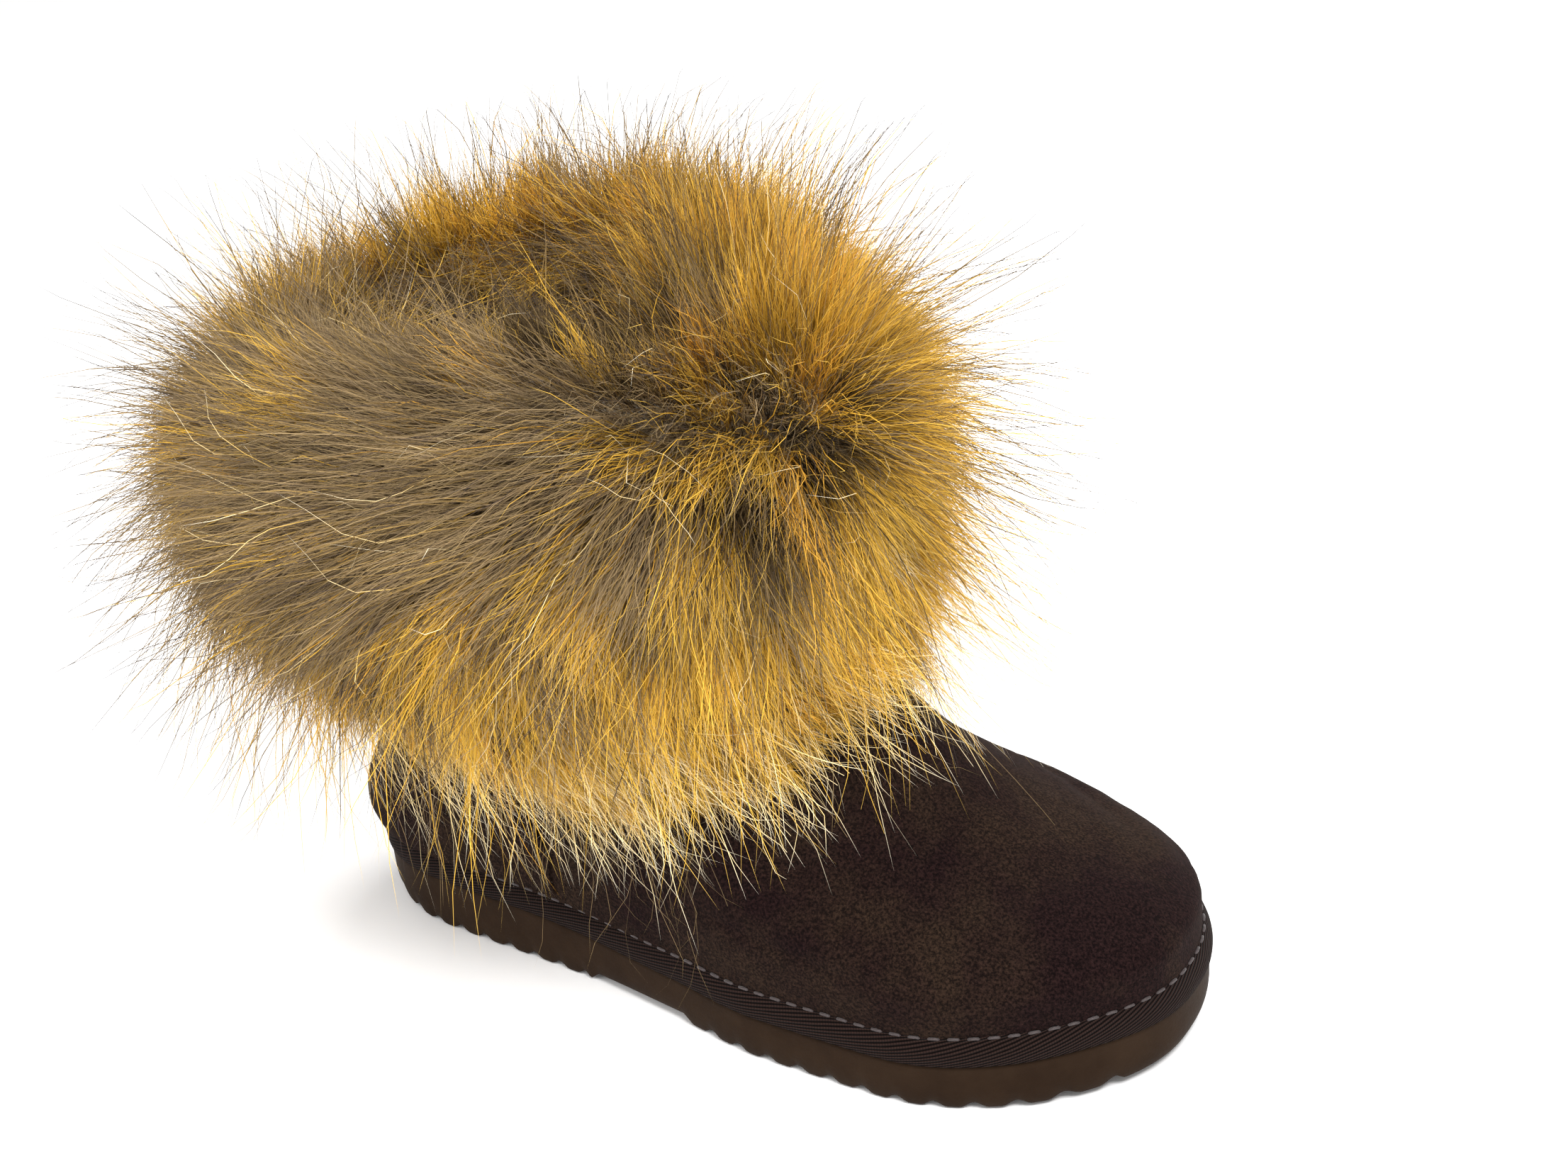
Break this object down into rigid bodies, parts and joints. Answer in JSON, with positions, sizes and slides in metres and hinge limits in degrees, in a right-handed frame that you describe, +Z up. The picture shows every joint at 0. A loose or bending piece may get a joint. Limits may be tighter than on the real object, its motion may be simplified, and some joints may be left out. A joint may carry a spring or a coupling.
{
  "type": "ankle boot",
  "caption": "Right-foot winter ankle boot: suede upper on a foam sole with cross bars, binding tape, heel counter, insole and a deep fur cuff.",
  "frame": {"origin": "on the floor, at the bottom of the sole under the middle of the heel", "axes": "+X from heel to toe, +Y to the inner side of the foot, +Z up"},
  "size_m": [0.3197, 0.2615, 0.2163],
  "materials": {
    "foam_sole": "matte moulded foam",
    "fleece": "short pile",
    "suede": "brushed nap",
    "tape": "ribbed woven tape",
    "fur": "long fur"
  },
  "bodies": {
    "root": {"outsole": "foam_sole", "insole": "fleece", "upper": "suede", "binding_tape": "tape", "heel_counter": "suede", "fur_cuff": "fur"}
  },
  "joints": []
}
